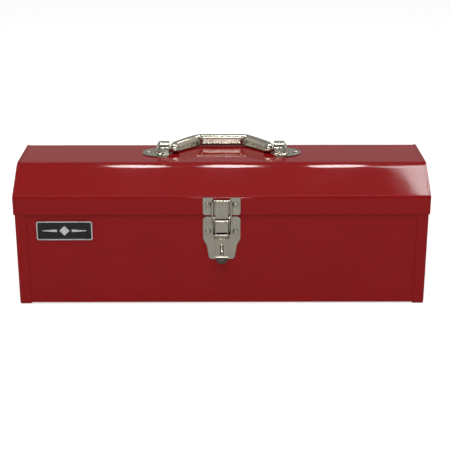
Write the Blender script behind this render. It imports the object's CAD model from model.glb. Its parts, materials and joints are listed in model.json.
"""Looks of a long steel hand box with a hip-roof lid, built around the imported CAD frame.

All lengths are metres, in the frame's own axes: X along the box, the front faces -Y, Z up.
"""

import json
import math

import bmesh
import bpy
from mathutils import Matrix, Vector, noise

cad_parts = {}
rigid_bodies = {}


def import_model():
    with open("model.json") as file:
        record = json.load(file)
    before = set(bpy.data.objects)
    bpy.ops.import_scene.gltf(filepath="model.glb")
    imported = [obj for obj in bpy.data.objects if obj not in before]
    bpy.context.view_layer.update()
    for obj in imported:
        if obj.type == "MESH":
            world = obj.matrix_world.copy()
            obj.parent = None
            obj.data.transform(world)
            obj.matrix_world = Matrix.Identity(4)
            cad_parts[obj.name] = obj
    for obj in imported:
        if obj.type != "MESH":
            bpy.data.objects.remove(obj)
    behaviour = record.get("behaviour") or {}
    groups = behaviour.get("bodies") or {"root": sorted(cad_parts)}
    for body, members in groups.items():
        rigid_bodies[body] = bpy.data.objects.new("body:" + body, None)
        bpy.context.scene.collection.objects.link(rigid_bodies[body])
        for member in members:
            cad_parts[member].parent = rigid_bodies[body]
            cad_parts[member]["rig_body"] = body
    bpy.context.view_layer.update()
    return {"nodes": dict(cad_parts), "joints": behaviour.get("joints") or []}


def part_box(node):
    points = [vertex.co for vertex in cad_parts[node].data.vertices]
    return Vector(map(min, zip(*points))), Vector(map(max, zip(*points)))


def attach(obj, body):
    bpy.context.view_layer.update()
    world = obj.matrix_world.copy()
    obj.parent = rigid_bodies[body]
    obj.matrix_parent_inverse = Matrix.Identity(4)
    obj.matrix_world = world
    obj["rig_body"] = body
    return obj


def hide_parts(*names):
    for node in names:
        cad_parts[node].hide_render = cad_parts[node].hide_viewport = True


MM = 0.001
SHEET = 0.8 * MM

# enamel where it lies thin, and where it has pooled
ENAMEL = (0.203, 0.0046, 0.0054)
ENAMEL_DEEP = (0.189, 0.0040, 0.0047)

# the floor's own light, and how much of it reflections see
FLOOR_GLOW = 0.66
FLOOR_GLOW_MIRRORED = 0.05

# strength of the surround behind the box, at the front's horizon and overhead, and what the sides add
SKY_REAR = 0.45
SKY_FRONT = 0.12
SKY_OVERHEAD = 0.95
SKY_SIDES = 0.6

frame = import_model()

# ---------- places read from the frame ----------

shell_lo, shell_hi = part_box("lid_shell")
lid_end_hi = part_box("lid_end_right")[1]
wrap_lo, wrap_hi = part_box("body_wrap")
end_lo, end_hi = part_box("body_end_right")
tray_lo, tray_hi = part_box("tray_pan")
bracket_lo, bracket_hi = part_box("handle_bracket_right")
strap_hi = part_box("handle_strap")[1]

LID_BACK = shell_hi.y
LID_FRONT = shell_lo.y
LID_TOP = shell_hi.z
SEAM = shell_lo.z
MIDDLE_Y = (LID_BACK + LID_FRONT) / 2

joint_at = {joint["name"]: Vector(joint["pos_m"]) for joint in frame["joints"] if "pos_m" in joint}
PIVOT = joint_at["handle_hinge"]

# ---------- the lid's roof ----------

# how far the slopes run in from the front and the rear, and the height where they start
SLOPE_RUN = 44.5 * MM
REAR_SLOPE_RUN = 42.5 * MM
ROOF_BEND_Z = 135 * MM

# length of the crown that ends the front slope, and how much flatter than the slope it lies
CROWN = 5.7 * MM
CROWN_LEAN = math.radians(5.2)

# radii of the bends at the crown's lower and upper end, and of every other bend
CROWN_BEND = 80 * MM
FRONT_TOP_BEND = 12 * MM
ROOF_BEND = 4 * MM


# ---------- numbers, lines and surfaces ----------

def clamp(value):
    """The value, kept from 0 to 1."""
    return min(1, max(0, value))


def between(a, b, share):
    return a + (b - a) * share


def left_of(direction):
    return Vector((-direction.y, direction.x))


def corner_arc(before, at, after, radius, steps):
    """Points of the arc that rounds the corner at, on the way from before to after."""
    u = (at - before).normalized()
    v = (after - at).normalized()
    angle = math.atan2(u.x * v.y - u.y * v.x, u.dot(v))
    side = math.copysign(1, angle)
    centre = at - u * radius * math.tan(abs(angle) / 2) + left_of(u) * radius * side
    start = -side * radius * left_of(u)
    return [centre + Matrix.Rotation(angle * i / steps, 2) @ start for i in range(steps + 1)]


def rounded_line(points, radii, steps=8):
    """Open line through points, with each inner corner rounded to its radius."""
    points = [Vector(p) for p in points]
    line = [points[0]]
    for before, at, after, radius in zip(points, points[1:], points[2:], radii):
        line += corner_arc(before, at, after, radius, steps)
    return line + [points[-1]]


def rounded_loop(points, radii, steps=6):
    """Closed line with every corner rounded to its radius."""
    points = [Vector(p) for p in points]
    loop = []
    for i, radius in enumerate(radii):
        loop += corner_arc(points[i - 1], points[i], points[(i + 1) % len(points)], radius, steps)
    return loop


def rounded_rectangle(width, depth, radius):
    w, d = width / 2, depth / 2
    return rounded_loop([(-w, -d), (w, -d), (w, d), (-w, d)], [radius] * 4, steps=8)


def spaced(line, step):
    """The same line with extra points, so that no stretch is longer than step."""
    result = [line[0]]
    for a, b in zip(line, line[1:]):
        count = max(1, math.ceil((b - a).length / step))
        result += [a.lerp(b, i / count) for i in range(1, count + 1)]
    return result


def offset_line(line, distance, closed=False):
    """The line moved distance to the left of its own direction."""
    count = len(line)
    moved = []
    for i, point in enumerate(line):
        normals = []
        if closed or i > 0:
            normals.append(left_of((point - line[i - 1]).normalized()))
        if closed or i < count - 1:
            normals.append(left_of((line[(i + 1) % count] - point).normalized()))
        normal = sum(normals, Vector((0, 0))).normalized()
        moved.append(point + normal * distance / normal.dot(normals[0]))
    return moved


def steps_between(low, high, step):
    count = max(1, math.ceil((high - low) / step))
    return [low + (high - low) * i / count for i in range(count + 1)]


def in_scene(name, data):
    """A new object for a mesh, camera or light, linked into the scene."""
    made = bpy.data.objects.new(name, data)
    bpy.context.scene.collection.objects.link(made)
    return made


class Surface:
    """Vertices and faces of one piece, gathered ring by ring."""

    def __init__(self):
        self.verts = []
        self.faces = []

    def ring(self, points):
        start = len(self.verts)
        self.verts += [Vector(p) for p in points]
        return range(start, len(self.verts))

    def band(self, a, b, closed=False):
        """Quads between two rings of the same length."""
        count = len(a)
        for i in range(count if closed else count - 1):
            j = (i + 1) % count
            self.faces.append((a[i], a[j], b[j], b[i]))

    def rings(self, rows, closed=False, cap_first=False, cap_last=False):
        rows = [self.ring(row) for row in rows]
        for a, b in zip(rows, rows[1:]):
            self.band(a, b, closed)
        if cap_first:
            self.faces.append(tuple(reversed(rows[0])))
        if cap_last:
            self.faces.append(tuple(rows[-1]))
        return rows

    def piece(self, name, away_from=None):
        """Makes the object. Open skins are turned so that their faces look away from a point."""
        mesh = bpy.data.meshes.new(name)
        mesh.from_pydata(self.verts, [], self.faces)
        work = bmesh.new()
        work.from_mesh(mesh)
        if away_from is None:
            bmesh.ops.recalc_face_normals(work, faces=work.faces)
        else:
            inside = Vector(away_from)
            facing = sum(f.normal.dot(f.calc_center_median() - inside) * f.calc_area() for f in work.faces)
            if facing < 0:
                bmesh.ops.reverse_faces(work, faces=work.faces)
        work.to_mesh(mesh)
        work.free()
        return in_scene(name, mesh)


def thicken(piece, thickness):
    """Gives an open skin its sheet thickness, on the side that its faces look away from."""
    solidify = piece.modifiers.new("sheet thickness", "SOLIDIFY")
    solidify.thickness = thickness
    solidify.offset = -1
    solidify.use_even_offset = True
    solidify.use_quality_normals = True


def soften(piece, width):
    """Breaks sharp edges and keeps flat faces flat under smooth shading."""
    if width:
        bevel = piece.modifiers.new("broken edges", "BEVEL")
        bevel.width = width
        bevel.segments = 2
        bevel.limit_method = "ANGLE"
        bevel.angle_limit = math.radians(40)
        bevel.use_clamp_overlap = True
    piece.data.shade_smooth()
    weighted = piece.modifiers.new("flat faces", "WEIGHTED_NORMAL")
    weighted.weight = 50
    weighted.keep_sharp = True


def fit(piece, node, material, thickness=None, edge=0.25 * MM):
    """Finishes a piece that stands for a CAD node: thickness, edges, material, body and slot."""
    if thickness:
        thicken(piece, thickness)
    soften(piece, edge)
    piece.data.materials.clear()
    piece.data.materials.append(material)
    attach(piece, frame["nodes"][node]["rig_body"])
    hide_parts(node)
    return piece


def refined(node, material, edge=0.2 * MM):
    """A copy of a CAD node with its facets merged and its edges broken."""
    same_place = 0.002 * MM
    same_plane = math.radians(1.0)
    work = bmesh.new()
    source = frame["nodes"][node].data
    verts = [work.verts.new(v.co) for v in source.vertices]
    for polygon in source.polygons:
        corners = [verts[i] for i in polygon.vertices]
        if len(set(corners)) == len(corners) and not work.faces.get(corners):
            work.faces.new(corners)
    bmesh.ops.remove_doubles(work, verts=work.verts, dist=same_place)
    bmesh.ops.dissolve_degenerate(work, edges=work.edges, dist=same_place)
    bmesh.ops.dissolve_limit(work, verts=work.verts, edges=work.edges, angle_limit=same_plane)
    name = node + "_finish"
    mesh = bpy.data.meshes.new(name)
    work.to_mesh(mesh)
    work.free()
    return fit(in_scene(name, mesh), node, material, edge=edge)


def dent(x, y, z, height=0.12 * MM, size=90 * MM):
    """Slow unevenness of pressed sheet metal at a place, as a distance."""
    return height * noise.noise(Vector((x / size, y / size, z / size)))


# ---------- materials ----------

class Look:
    """A Principled material with short calls for its texture nodes."""

    def __init__(self, name, color, metallic, roughness, specular=0.5):
        self.material = bpy.data.materials.new(name)
        self.material.use_nodes = True
        self.tree = self.material.node_tree
        self.shader = self.tree.nodes["Principled BSDF"]
        self.shader.inputs["Base Color"].default_value = (*color, 1)
        self.shader.inputs["Metallic"].default_value = metallic
        self.shader.inputs["Roughness"].default_value = roughness
        self.shader.inputs["Specular IOR Level"].default_value = specular
        self.place = self.tree.nodes.new("ShaderNodeTexCoord").outputs["Object"]

    def node(self, kind, **inputs):
        made = self.tree.nodes.new(kind)
        for name, value in inputs.items():
            self.feed(made.inputs[name.replace("_", " ")], value)
        return made

    def feed(self, socket, value):
        if isinstance(value, bpy.types.NodeSocket):
            self.tree.links.new(value, socket)
        else:
            socket.default_value = value

    def noise(self, scale, detail, stretch=(1, 1, 1), roughness=0.5):
        mapping = self.node("ShaderNodeMapping", Vector=self.place, Scale=stretch)
        return self.node("ShaderNodeTexNoise", Vector=mapping.outputs[0], Scale=scale,
                         Detail=detail, Roughness=roughness).outputs["Fac"]

    def cells(self, scale):
        return self.node("ShaderNodeTexVoronoi", Vector=self.place, Scale=scale).outputs["Distance"]

    def spread(self, value, low, high, from_low=0.3, from_high=0.7):
        """The value from low to high, while it goes from from_low to from_high itself."""
        made = self.node("ShaderNodeMapRange", Value=value, From_Min=from_low, From_Max=from_high,
                         To_Min=low, To_Max=high)
        return made.outputs[0]

    def blend(self, factor, a, b):
        """Colour between a and b. The Mix node's sockets share names, so they are taken by number."""
        made = self.tree.nodes.new("ShaderNodeMix")
        made.data_type = "RGBA"
        self.feed(made.inputs[0], factor)
        self.feed(made.inputs[6], a)
        self.feed(made.inputs[7], b)
        return made.outputs[2]

    def add(self, a, b):
        made = self.tree.nodes.new("ShaderNodeMath")
        self.feed(made.inputs[0], a)
        self.feed(made.inputs[1], b)
        return made.outputs[0]

    def color(self, value):
        self.feed(self.shader.inputs["Base Color"], value)

    def roughness(self, value):
        self.feed(self.shader.inputs["Roughness"], value)

    def bump(self, height, strength, distance):
        """Adds relief on top of the relief that is there."""
        made = self.node("ShaderNodeBump", Height=height, Strength=strength, Distance=distance)
        links = self.shader.inputs["Normal"].links
        if links:
            self.feed(made.inputs["Normal"], links[0].from_socket)
        self.feed(self.shader.inputs["Normal"], made.outputs[0])


def red_enamel():
    look = Look("red enamel", ENAMEL, metallic=0, roughness=0.13, specular=0.15)
    pooled = look.noise(scale=11, detail=4)
    look.color(look.blend(look.spread(pooled, 0, 1), (*ENAMEL, 1), (*ENAMEL_DEEP, 1)))
    smudges = look.noise(scale=38, detail=5, roughness=0.6)
    look.roughness(look.spread(smudges, 0.05, 0.09))
    look.bump(look.noise(scale=650, detail=2), strength=0.08, distance=0.04 * MM)
    look.bump(look.noise(scale=60, detail=2), strength=0.05, distance=0.12 * MM)
    return look.material


def plated(name, light, dark, smooth, rough):
    """Bright plated steel with faint rolling lines, handling marks and darkened gaps."""
    gap_width = 2.2 * MM
    soiled = tuple(0.12 * level for level in dark)
    look = Look(name, light, metallic=1, roughness=(smooth + rough) / 2)
    haze = look.noise(scale=70, detail=5, roughness=0.65)
    clean = look.blend(look.spread(haze, 0, 1), (*dark, 1), (*light, 1))
    gap = look.node("ShaderNodeAmbientOcclusion", Distance=gap_width).outputs["AO"]
    look.color(look.blend(look.spread(gap, 0, 1, from_low=0.45, from_high=0.85), (*soiled, 1), clean))
    lines = look.noise(scale=2200, detail=2, stretch=(12, 12, 1))
    look.roughness(look.add(look.spread(haze, smooth, rough), look.spread(lines, -0.03, 0.03)))
    look.bump(look.noise(scale=140, detail=3), strength=0.18, distance=0.1 * MM)
    look.bump(lines, strength=0.06, distance=0.02 * MM)
    return look.material


def zinc_steel():
    """Dull zinc plate with a faint spangle."""
    look = Look("zinc steel", (0.42, 0.42, 0.41), metallic=1, roughness=0.4)
    spangle = look.spread(look.cells(scale=180), 0, 1, from_low=0, from_high=0.8)
    look.color(look.blend(spangle, (0.36, 0.36, 0.36, 1), (0.5, 0.5, 0.48, 1)))
    look.roughness(look.spread(look.noise(scale=120, detail=4), 0.34, 0.5))
    look.bump(look.noise(scale=400, detail=3), strength=0.15, distance=0.05 * MM)
    return look.material


def badge_black():
    look = Look("badge black", (0.006, 0.006, 0.007), metallic=0, roughness=0.12, specular=0.3)
    film = look.noise(scale=60, detail=4)
    look.color(look.blend(look.spread(film, 0, 1), (0.004, 0.004, 0.005, 1), (0.009, 0.009, 0.010, 1)))
    look.roughness(look.spread(film, 0.08, 0.2))
    look.bump(look.noise(scale=500, detail=2), strength=0.05, distance=0.03 * MM)
    return look.material


def tray_black():
    """Black hammered paint."""
    look = Look("tray black", (0.014, 0.014, 0.015), metallic=0, roughness=0.35, specular=0.4)
    hammer = look.cells(scale=260)
    raised = look.spread(hammer, 0, 1, from_low=0, from_high=0.7)
    look.color(look.blend(raised, (0.010, 0.010, 0.011, 1), (0.022, 0.022, 0.023, 1)))
    look.roughness(look.spread(look.noise(scale=80, detail=4), 0.28, 0.42))
    look.bump(hammer, strength=0.35, distance=0.25 * MM)
    return look.material


def floor_paper():
    """White paper that glows a little, and less in reflections, so that the sides stay red."""
    look = Look("floor paper", (0.5, 0.5, 0.5), metallic=0, roughness=0.9, specular=0.0)
    fibre = look.noise(scale=45, detail=4)
    look.color(look.blend(fibre, (0.49, 0.49, 0.49, 1), (0.51, 0.51, 0.51, 1)))
    look.shader.inputs["Emission Color"].default_value = (1, 1, 1, 1)
    mirrored = look.node("ShaderNodeLightPath").outputs["Is Glossy Ray"]
    glow = look.spread(mirrored, FLOOR_GLOW, FLOOR_GLOW_MIRRORED, from_low=0, from_high=1)
    look.feed(look.shader.inputs["Emission Strength"], glow)
    return look.material


enamel = red_enamel()
nickel = plated("nickel plate", (0.425, 0.400, 0.332), (0.350, 0.328, 0.272), smooth=0.13, rough=0.23)
silver = plated("badge silver", (0.72, 0.71, 0.69), (0.62, 0.61, 0.6), smooth=0.24, rough=0.34)
zinc = zinc_steel()
black_gloss = badge_black()
black_hammer = tray_black()


# ---------- camera ----------

def make_camera():
    """Stands in front of the box's middle and looks down on its front and flat top."""
    pitch = math.radians(20.05)
    roll = math.radians(-0.09)
    distance = 1.382
    target = Vector((0, 3.6 * MM, 71.6 * MM))
    data = bpy.data.cameras.new("camera")
    data.sensor_width = 36
    data.lens = 89.4
    data.shift_x = 0.0073
    data.clip_start = 0.05
    place = target + distance * Vector((0, -math.cos(pitch), math.sin(pitch)))
    camera = in_scene("camera", data)
    camera.matrix_world = (Matrix.Translation(place) @ Matrix.Rotation(math.radians(90) - pitch, 4, "X")
                           @ Matrix.Rotation(roll, 4, "Z"))
    bpy.context.scene.camera = camera


# ---------- lid ----------

def roof_line():
    """Outside of the roof in Y and Z, from the rear lower edge over the top to the front.

    The upper end of the front slope is crowned a little before the bend into the flat top.
    """
    slope = math.atan2(LID_TOP - ROOF_BEND_Z, SLOPE_RUN)
    crown_in = SLOPE_RUN - CROWN * math.cos(slope)
    crown_z = LID_TOP - CROWN * math.sin(slope)
    top_in = crown_in + CROWN * math.sin(slope) / math.tan(slope - CROWN_LEAN)
    points = [(LID_BACK, SEAM), (LID_BACK, ROOF_BEND_Z), (LID_BACK - REAR_SLOPE_RUN, LID_TOP),
              (LID_FRONT + top_in, LID_TOP), (LID_FRONT + crown_in, crown_z),
              (LID_FRONT, ROOF_BEND_Z), (LID_FRONT, SEAM)]
    radii = [ROOF_BEND, ROOF_BEND, FRONT_TOP_BEND, CROWN_BEND, ROOF_BEND]
    return spaced(rounded_line(points, radii, steps=10), 8 * MM)


def lid_shell():
    """The roof and its skirts in one bent sheet, a little uneven away from its ends."""
    even_end = 30 * MM
    settled = 0.05 * MM
    line = roof_line()
    outward = [(a - b).normalized() for a, b in zip(offset_line(line, -MM), line)]
    surface = Surface()
    rows = []
    for x in steps_between(shell_lo.x, shell_hi.x, 14 * MM):
        fade = clamp((shell_hi.x - abs(x)) / even_end)
        row = []
        for point, normal in zip(line, outward):
            bulge = (dent(x, point.x, point.y) - settled) * fade
            row.append((x, point.x + normal.x * bulge, point.y + normal.y * bulge))
        rows.append(row)
    surface.rings(rows)
    piece = surface.piece("lid_shell_finish", away_from=(0, MIDDLE_Y, SEAM))
    fit(piece, "lid_shell", enamel, SHEET)


def lid_end(side, node):
    """Flat end plate with its edge turned over the shell."""
    lip_width = 2.8 * MM
    lip_stand = 0.5 * MM
    bend = 0.9 * MM
    below_bend = 0.8 * MM
    skin = 0.45 * MM
    end_x = lid_end_hi.x
    line = roof_line()
    section = rounded_line([(end_x - lip_width, lip_stand), (end_x, lip_stand),
                            (end_x, lip_stand - bend - below_bend)], [bend], steps=6)
    surface = Surface()
    rows = [[(side * x, p.x, p.y) for p in offset_line(line, -out)] for x, out in section]
    surface.rings(rows, cap_last=True)
    piece = surface.piece(node + "_finish", away_from=(side * (end_x - 60 * MM), MIDDLE_Y, SEAM))
    fit(piece, node, enamel, skin, edge=0.12 * MM)


# ---------- box ----------

def body_wrap():
    """Front, bottom and rear in one bent sheet, with its rims folded inwards."""
    fold = 2 * MM
    hem = 8 * MM
    rim_bend = 0.95 * MM
    floor_bend = 2.4 * MM
    even_end = 30 * MM
    even_rim = 20 * MM
    even_foot = 15 * MM
    settled = 0.06 * MM
    y0, y1, z0, z1 = wrap_lo.y, wrap_hi.y, wrap_lo.z, wrap_hi.z
    points = [(y1 - fold, z1 - hem), (y1 - fold, z1), (y1, z1), (y1, z0),
              (y0, z0), (y0, z1), (y0 + fold, z1), (y0 + fold, z1 - hem)]
    radii = [rim_bend, rim_bend, floor_bend, floor_bend, rim_bend, rim_bend]
    line = spaced(rounded_line(points, radii), 10 * MM)
    surface = Surface()
    rows = []
    for x in steps_between(wrap_lo.x, wrap_hi.x, 14 * MM):
        fade = clamp((wrap_hi.x - abs(x)) / even_end)
        row = []
        for point in line:
            inner = clamp((z1 - point.y) / even_rim) * clamp((point.y - z0) / even_foot)
            sink = (dent(x, point.x, point.y, size=110 * MM) + settled) * fade * inner
            row.append((x, point.x - math.copysign(sink, point.x - MIDDLE_Y), point.y))
        rows.append(row)
    surface.rings(rows)
    piece = surface.piece("body_wrap_finish", away_from=(0, MIDDLE_Y, (z0 + z1) / 2))
    fit(piece, "body_wrap", enamel, SHEET)


def body_end(side, node):
    """End panel: a shallow pan with outside flanges, a folded foot and a rolled rim."""
    flange = 13.2 * MM
    corner = 4 * MM
    panel_bend = 1.4 * MM
    below_bend = 1.0 * MM
    x1, y0, y1, z1 = end_hi.x, end_lo.y, end_hi.y, end_hi.z
    outline = spaced(rounded_line([(y1, z1), (y1, end_lo.z), (y0, end_lo.z), (y0, z1)],
                                  [corner, corner]), 12 * MM)
    section = [Vector((x1 - flange, 0))]
    section += rounded_line([(x1 - flange / 2, 0), (x1, 0), (x1, panel_bend + below_bend)],
                            [panel_bend], steps=6)
    surface = Surface()
    rows = [[(side * x, p.x, p.y) for p in offset_line(outline, -inset)] for x, inset in section]
    surface.rings(rows, cap_last=True)
    # rolled rim along the top, inside the lid
    rim_inset = 2.9 * MM
    rim_fold = 2.8 * MM
    rim_bend = 0.9 * MM
    rim_x = x1 - 0.05 * MM
    rim = rounded_line([(rim_x, z1 - 6 * MM), (rim_x, z1), (x1 - rim_fold, z1), (x1 - rim_fold, z1 - 8 * MM)],
                       [rim_bend, rim_bend], steps=6)
    ys = steps_between(y0 + rim_inset, y1 - rim_inset, 15 * MM)
    surface.rings([[(side * p.x, y, p.y) for p in rim] for y in ys])
    # second layer of the folded foot
    foot_low = 0.7 * MM
    foot_high = 1.55 * MM
    inner_x = x1 - flange + 0.6 * MM
    outer_x = x1 - SHEET
    fold = [(inner_x, foot_low), (outer_x, foot_low), (outer_x, foot_high), (inner_x, foot_high)]
    ys = steps_between(y0 + corner, y1 - corner, 15 * MM)
    surface.rings([[(side * x, y, z) for x, z in fold] for y in ys], closed=True)
    piece = surface.piece(node + "_finish", away_from=(side * (x1 - 60 * MM), MIDDLE_Y, z1 / 2))
    fit(piece, node, enamel, SHEET, edge=0.2 * MM)


# ---------- handle ----------

def in_handle(x, reach, rise):
    """A place in the folded handle's own plane, turned into the frame."""
    tilt = math.radians(2.6)
    return PIVOT + Matrix.Rotation(tilt, 3, "X") @ Vector((x, reach, rise))


def handle_section(half, palm_bend, low_bend, slot_deep, lean):
    """Closed section: distance in from the outer face, and height across.

    The finger side has a slot with rolled edges. It leans back by lean at the top, and its upper
    and lower edges are rounded by palm_bend and low_bend.
    """
    deep = 9 * MM
    back_bend = 2.4 * MM
    slot_half = min(2.3 * MM, half - palm_bend - 0.3 * MM)
    slot_roll = min(0.9 * MM, slot_deep * 0.45, (half - palm_bend - slot_half) * 0.9)
    slot_bend = min(0.2 * MM, slot_deep * 0.2)
    edge_lean = lean * slot_half / half
    points = [(0, -half), (deep + lean, -half), (deep + edge_lean, -slot_half),
              (deep + edge_lean - slot_deep, -slot_half), (deep - edge_lean - slot_deep, slot_half),
              (deep - edge_lean, slot_half), (deep - lean, half), (0, half)]
    return rounded_loop(points, [back_bend, low_bend, slot_roll, slot_bend,
                                 slot_bend, slot_roll, palm_bend, back_bend])


def handle_path(half_span, end_half, reach, slot_end):
    """Outer line of the handle in its own plane, from the right pivot over the grip to the left one.

    A close pair of stations stands at each end of the slot.
    """
    knee = 7 * MM
    shoulder = half_span - (reach - knee)
    knee_bend = 11 * MM
    grip_bend = 18 * MM
    pair_gap = 0.03 * MM
    clear_of_pair = 0.2 * MM
    below_grip = reach - 0.001 * MM
    points = [(half_span, -end_half), (half_span, knee), (shoulder, reach), (-shoulder, reach),
              (-half_span, knee), (-half_span, -end_half)]
    path = spaced(rounded_line(points, [knee_bend, grip_bend, grip_bend, knee_bend], steps=14), 2 * MM)
    right = [p for p in path if p.y <= below_grip and p.x > 0]
    left = [p for p in path if p.y <= below_grip and p.x < 0]
    grip = [p for p in path if p.y > below_grip and abs(abs(p.x) - slot_end) > clear_of_pair]
    grip += [Vector((side * x, reach)) for side in (-1, 1) for x in (slot_end, slot_end + pair_gap)]
    return right + sorted(grip, key=lambda p: -p.x) + left


def handle_strap():
    """The hollow handle swept from pivot to pivot, taller and squarer towards the slotted grip."""
    half_span = strap_hi.x
    end_half = 5.4 * MM
    grip_half = 6.45 * MM
    full_height_reach = 24 * MM
    reach = 37 * MM
    slot_end = 23.8 * MM
    slot_deep = 3.2 * MM
    no_slot = 0.05 * MM
    round_from = 34 * MM
    round_over = 9 * MM
    square_bend = 3 * MM
    round_lean = 1.5 * MM
    end_fullness = 0.97
    path = handle_path(half_span, end_half, reach, slot_end)
    surface = Surface()
    rows = []
    for point, inner in zip(path, offset_line(path, MM)):
        normal = (inner - point).normalized()
        slotted = abs(point.x) < slot_end + 0.01 * MM and point.y > reach - 0.01 * MM
        squareness = clamp((round_from - abs(point.x)) / round_over)
        half = between(end_half, grip_half, clamp(point.y / full_height_reach))
        palm_bend = between(half - 0.7 * MM, square_bend, squareness)
        low_bend = between(1.6 * MM, square_bend, squareness)
        lean = round_lean * (1 - squareness)
        # past the pivots, the ends are rounded off
        past_pivot = min(point.y, 0) * end_fullness
        shrink = math.sqrt(max(end_half ** 2 - past_pivot ** 2, 0)) / end_half
        section = handle_section(half, palm_bend, low_bend, slot_deep if slotted else no_slot, lean)
        rows.append([in_handle(point.x + normal.x * q.x, point.y + normal.y * q.x, q.y * shrink)
                     for q in section])
    surface.rings(rows, closed=True, cap_first=True, cap_last=True)
    piece = surface.piece("handle_strap_finish")
    fit(piece, "handle_strap", nickel, edge=0)


def hump_line(edge, wide, thick, high, swell):
    """Line across a bracket: in over the flat plate, over the hump, and out over the plate again."""
    rise = max(high - thick, 0.001 * MM)
    top_half = wide - 0.8 * MM * swell
    foot_bend = min(3.2 * MM, rise * 0.3)
    top_bend = min(wide * 0.97, rise * 0.78, top_half * 0.9)
    return rounded_line([(-edge, thick), (-wide, thick), (-top_half, high), (top_half, high),
                         (wide, thick), (edge, thick)], [foot_bend, top_bend, top_bend, foot_bend])


def handle_brackets():
    """Stamped plates with a domed housing over each pivot, which runs out into the plate."""
    thick = 1.2 * MM
    x0 = bracket_lo.x
    x1 = bracket_hi.x
    half = (bracket_hi.y - bracket_lo.y) / 2
    outline = rounded_line([(x0, 0), (x0, half), (x0 + 15 * MM, half), (x0 + 26 * MM, 13.5 * MM),
                            (x1, 6 * MM), (x1, 0)], [2.5 * MM, 9 * MM, 6 * MM, 4 * MM], steps=6)[1:-1]
    inner_places = [x0 + i * MM for i in range(1, round((x1 - x0) / MM))]
    stations = sorted({round(x, 6) for x in [p.x for p in outline] + inner_places})
    hump_half = 9.5 * MM
    hump_end = x0 + 11 * MM
    ramp = 6.5 * MM
    top = bracket_hi.z - LID_TOP
    for side, node in ((1, "handle_bracket_right"), (-1, "handle_bracket_left")):
        surface = Surface()
        rows = []
        for x in stations:
            edge = half_width(outline, x)
            fall = clamp((x - hump_end) / ramp)
            swell = math.cos(fall * math.pi / 2) ** 0.85 if fall < 1 else 0
            wide = min(hump_half * between(0.45, 1, swell), edge - 1.2 * MM)
            line = hump_line(edge, wide, thick, between(thick, top, swell), swell)
            rows.append([(side * x, PIVOT.y + p.x, LID_TOP + p.y) for p in line])
        surface.rings(rows)
        piece = surface.piece(node + "_finish", away_from=(side * hump_end, PIVOT.y, LID_TOP - 30 * MM))
        fit(piece, node, nickel, thick, edge=0.3 * MM)
        # an even offset would throw spikes where the hump runs out into the plate
        piece.modifiers["sheet thickness"].use_even_offset = False


def half_width(outline, x):
    """Distance of the outline from its middle line at x."""
    slack = 1e-7
    widest = 0
    for a, b in zip(outline, outline[1:]):
        low, high = min(a.x, b.x), max(a.x, b.x)
        if low - slack <= x <= high + slack:
            share = 0.5 if high - low < slack / 100 else (x - a.x) / (b.x - a.x)
            widest = max(widest, between(a.y, b.y, clamp(share)))
    return widest


def housing_walls():
    """Inner end wall of each pivot housing, with the hole that the pivot turns in."""
    hole = 2.7 * MM
    wall = 1.1 * MM
    foot_half = 8.4 * MM
    top_half = 7.6 * MM
    foot = 0.2 * MM
    top_bend = 6.8 * MM
    x0 = bracket_lo.x + 1.0 * MM
    top = bracket_hi.z - LID_TOP - 0.7 * MM
    arch = rounded_loop([(-foot_half, foot), (foot_half, foot), (top_half, top), (-top_half, top)],
                        [foot, foot, top_bend, top_bend], steps=10)
    middle = Vector((0, PIVOT.z - LID_TOP))
    ring = [middle + (p - middle).normalized() * hole for p in arch]
    for side, node in ((1, "handle_bracket_right"), (-1, "handle_bracket_left")):
        surface = Surface()
        rows = []
        for points, x in ((arch, x0), (ring, x0), (ring, x0 + wall), (arch, x0 + wall)):
            rows.append([(side * x, PIVOT.y + p.x, LID_TOP + p.y) for p in points])
        loops = surface.rings(rows, closed=True)
        surface.band(loops[-1], loops[0], closed=True)
        piece = surface.piece(node + "_wall")
        soften(piece, 0.15 * MM)
        piece.data.materials.append(nickel)
        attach(piece, "lid")


# ---------- tray ----------

def tray_pan():
    """Drawn tray with a rounded floor and a rim rolled outwards."""
    wall = 0.8 * MM
    rim = 1.0 * MM
    rim_drop = 3 * MM
    inner_ease = 0.3 * MM
    outer_ease = 0.35 * MM
    floor_bend = 3 * MM
    corner = 8 * MM
    width = tray_hi.x - tray_lo.x
    depth = tray_hi.y - tray_lo.y
    top = tray_hi.z - tray_lo.z
    inner = rim + wall
    section = rounded_line([(inner + floor_bend, wall), (inner, wall), (inner, top * 0.5)],
                           [floor_bend], steps=6)[1:]
    section += [(inner, top - rim), (inner - inner_ease, top - inner_ease), (rim, top),
                (outer_ease, top - outer_ease), (0, top - rim), (0, top - rim_drop)]
    middle = Vector(((tray_lo.x + tray_hi.x) / 2, (tray_lo.y + tray_hi.y) / 2, tray_lo.z))
    surface = Surface()
    rows = []
    for inset, height in section:
        loop = rounded_rectangle(width - 2 * inset, depth - 2 * inset, corner - inset)
        rows.append([middle + Vector((p.x, p.y, height)) for p in loop])
    surface.rings(rows, closed=True, cap_first=True)
    piece = surface.piece("tray_pan_finish", away_from=middle + Vector((0, 0, -200 * MM)))
    piece.data.flip_normals()
    fit(piece, "tray_pan", black_hammer, wall, edge=0.15 * MM)


# ---------- studio ----------

def lamp(name, place, target, width, height, radiance, shape="RECTANGLE", glossy=True, diffuse=True):
    """Area lamp with a given brightness of its face."""
    data = bpy.data.lights.new(name, "AREA")
    data.shape = shape
    data.size = width
    data.size_y = height
    area = width * height * (math.pi / 4 if shape == "ELLIPSE" else 1)
    data.energy = radiance * math.pi * area
    made = in_scene(name, data)
    made.location = place
    made.rotation_euler = (Vector(target) - Vector(place)).to_track_quat("-Z", "Y").to_euler()
    made.visible_glossy = glossy
    made.visible_diffuse = diffuse
    made.visible_camera = False


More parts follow.
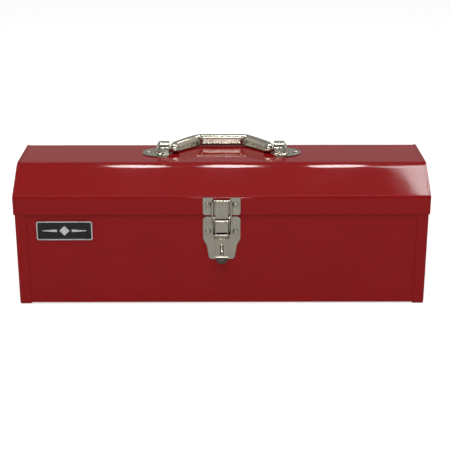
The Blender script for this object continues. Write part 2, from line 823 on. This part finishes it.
def sky_place(target, x, elevation, distance):
    """A place above the target: elevation is counted up from the rear horizon, over the top."""
    angle = math.radians(elevation)
    return Vector((x, target.y + distance * math.cos(angle), target.z + distance * math.sin(angle)))


def sky():
    """Soft surround: even behind the box, dark at the front's horizon, lighter overhead and aside."""
    world = bpy.data.worlds.new("studio")
    world.use_nodes = True
    tree = world.node_tree

    def ramp(value, from_low, from_high, low, high):
        made = tree.nodes.new("ShaderNodeMapRange")
        tree.links.new(value, made.inputs["Value"])
        levels = {"From Min": from_low, "From Max": from_high, "To Min": low, "To Max": high}
        for name, level in levels.items():
            made.inputs[name].default_value = level
        return made.outputs[0]

    def joined(operation, a, b):
        made = tree.nodes.new("ShaderNodeMath")
        made.operation = operation
        tree.links.new(a, made.inputs[0])
        tree.links.new(b, made.inputs[1])
        return made.outputs[0]

    split = tree.nodes.new("ShaderNodeSeparateXYZ")
    tree.links.new(tree.nodes.new("ShaderNodeTexCoord").outputs["Generated"], split.inputs[0])
    x, y, z = split.outputs
    behind = ramp(y, from_low=-0.25, from_high=0.35, low=0, high=1)
    front = ramp(z, from_low=0.88, from_high=0.99, low=SKY_FRONT, high=SKY_OVERHEAD)
    aside = ramp(joined("MULTIPLY", x, x), from_low=0.2, from_high=0.7, low=0, high=SKY_SIDES)
    mix = tree.nodes.new("ShaderNodeMix")
    tree.links.new(behind, mix.inputs[0])
    tree.links.new(front, mix.inputs[2])
    mix.inputs[3].default_value = SKY_REAR
    background = tree.nodes["Background"]
    background.inputs["Color"].default_value = (1.0, 0.985, 0.965, 1)
    tree.links.new(joined("ADD", mix.outputs[0], aside), background.inputs["Strength"])
    return world


def make_floor():
    half = 20.0
    places = steps_between(-half, half, half / 12)
    surface = Surface()
    surface.rings([[(x, y, 0) for x in places] for y in places])
    floor = surface.piece("floor", away_from=(0, 0, -1))
    floor.data.materials.append(floor_paper())


def make_lamps():
    """Each lamp hangs in an arc over the lid's front edge or the grip, and looks at it."""
    top_edge = Vector((0, LID_FRONT + SLOPE_RUN, LID_TOP))
    grip = Vector((0, PIVOT.y + 30 * MM, PIVOT.z))
    # broad soft key from above the front
    place = sky_place(top_edge, x=0, elevation=115, distance=2.2)
    lamp("key", place, top_edge, width=1.8, height=1.2, radiance=7.2, glossy=False)
    # long panel that draws a line along bends and edges
    place = sky_place(top_edge, x=0, elevation=100, distance=1.5)
    lamp("edge strip", place, top_edge, width=1.3, height=0.22, radiance=5, diffuse=False)
    # round soft boxes that glance off the crown below the flat top
    for x in (-0.213, 0.022, 0.292):
        place = sky_place(top_edge, x, elevation=76.5, distance=1.5)
        lamp("glance", place, top_edge + Vector((x * 0.48, 0, 0)), width=0.14, height=0.17, radiance=50,
             shape="ELLIPSE", diffuse=False)
    # tall panel that washes the right end of the slope
    place = sky_place(top_edge, x=0.71, elevation=78, distance=1.5)
    lamp("side wash", place, top_edge + Vector((0.22, 0, 0)), width=0.38, height=0.55, radiance=26,
         diffuse=False)
    # small panel over the camera that puts points of light on the latch and the grip
    place = sky_place(grip, x=0, elevation=162, distance=1.7)
    lamp("points", place, grip, width=0.14, height=0.35, radiance=30, diffuse=False)


# ---------- scene ----------

def build():
    lid_shell()
    lid_end(-1, "lid_end_left")
    lid_end(1, "lid_end_right")
    body_wrap()
    body_end(-1, "body_end_left")
    body_end(1, "body_end_right")
    handle_strap()
    handle_brackets()
    housing_walls()
    tray_pan()
    for node in ("tray_ledge_left", "tray_ledge_right"):
        refined(node, enamel)
    for node in ("hinge_leaf_body", "hinge_leaf_lid", "hinge_pin"):
        refined(node, zinc, edge=0.12 * MM)
    for node in ("latch_plate", "strike_plate", "latch_lever", "padlock_eye", "latch_bail", "latch_pin",
                 "latch_plate_rivets", "strike_rivets", "bracket_rivets", "handle_pivots",
                 "pivot_washers", "tray_rivets"):
        refined(node, nickel)
    for node in ("badge_frame", "badge_emblem"):
        refined(node, silver, edge=0.12 * MM)
    refined("badge_insert", black_gloss, edge=0.08 * MM)
    refined("tray_handle", black_hammer, edge=0.3 * MM)


make_camera()
build()
bpy.context.scene.world = sky()
make_floor()
make_lamps()
bpy.context.scene.view_settings.view_transform = "Standard"
